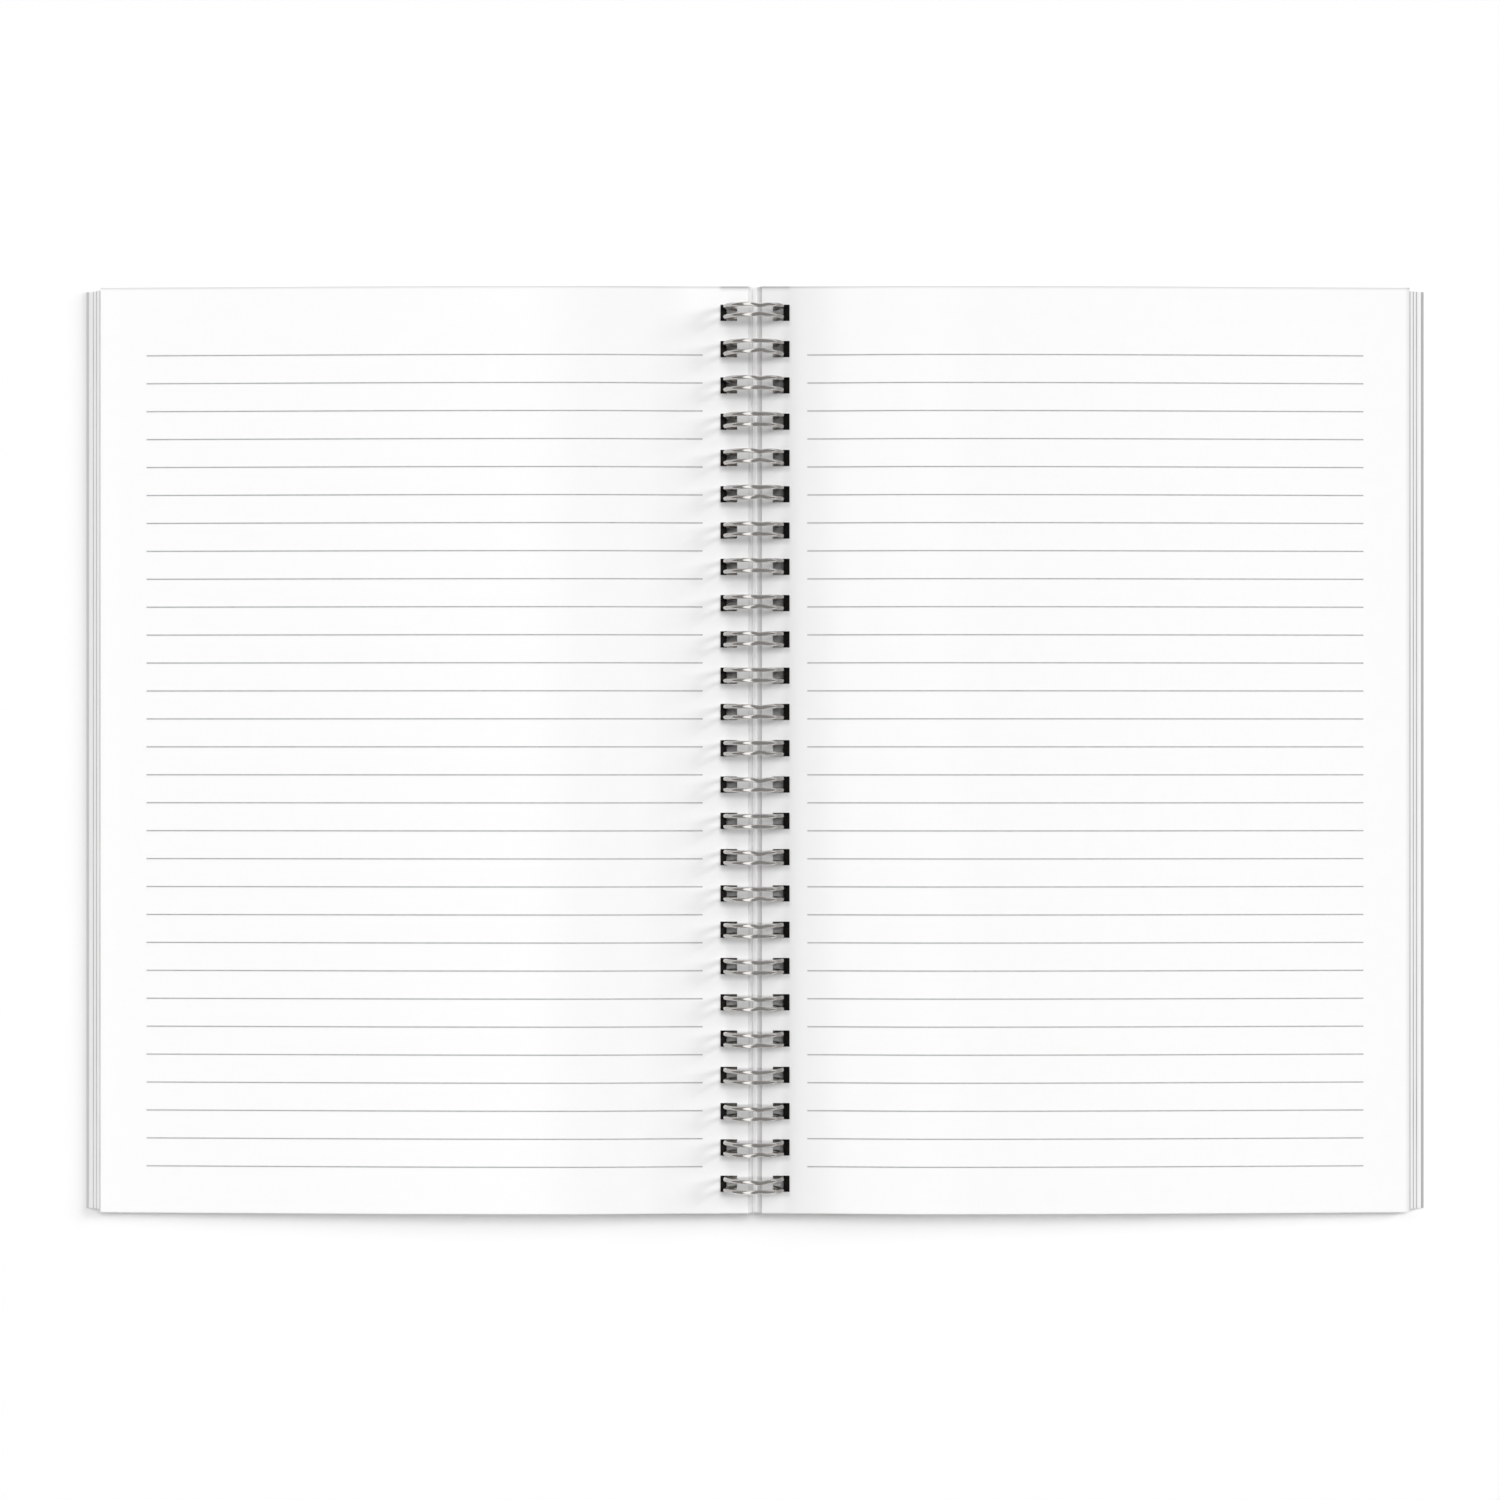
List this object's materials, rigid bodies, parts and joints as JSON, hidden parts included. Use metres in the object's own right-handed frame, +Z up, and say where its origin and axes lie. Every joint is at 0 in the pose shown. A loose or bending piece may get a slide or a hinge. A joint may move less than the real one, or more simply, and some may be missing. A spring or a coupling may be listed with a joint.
{
  "type": "open spiral notebook",
  "caption": "Open ruled notebook on a twin-loop wire; the card covers and the stacks of leaves turn over about the wire, so it opens flat and shuts.",
  "frame": {"origin": "on the table, under the middle of the wire", "axes": "+X across the open spread towards the back cover, +Y along the wire towards the head of the pages, +Z up"},
  "size_m": [0.3136, 0.2162, 0.0142],
  "materials": {
    "binding_wire": "bright nickel-coloured drawn wire",
    "cover_card": "plain pale card, uncoated",
    "page_paper": "white uncoated writing paper",
    "ruling_ink": "thin grey printed line"
  },
  "bodies": {
    "wire": {"wire_binding": "binding_wire"},
    "front_cover": {"front_cover": "cover_card"},
    "left_pages": {"left_pages": "page_paper", "left_ruling": "ruling_ink"},
    "back_cover": {"back_cover": "cover_card"},
    "right_pages": {"right_pages": "page_paper", "right_ruling": "ruling_ink"}
  },
  "joints": [
    {"name": "front_cover_turn", "type": "hinge", "parent": "wire", "child": "front_cover", "pos_m": [0, 0, 0.00715], "axis": [0, 1, 0], "range_deg": [0, 180]},
    {"name": "left_pages_turn", "type": "hinge", "parent": "front_cover", "child": "left_pages", "pos_m": [0, 0, 0.00715], "axis": [0, 1, 0], "range_deg": [0, 180]},
    {"name": "back_cover_turn", "type": "hinge", "parent": "wire", "child": "back_cover", "pos_m": [0, 0, 0.00715], "axis": [0, -1, 0], "range_deg": [0, 180]},
    {"name": "right_pages_turn", "type": "hinge", "parent": "back_cover", "child": "right_pages", "pos_m": [0, 0, 0.00715], "axis": [0, -1, 0], "range_deg": [0, 180]}
  ]
}
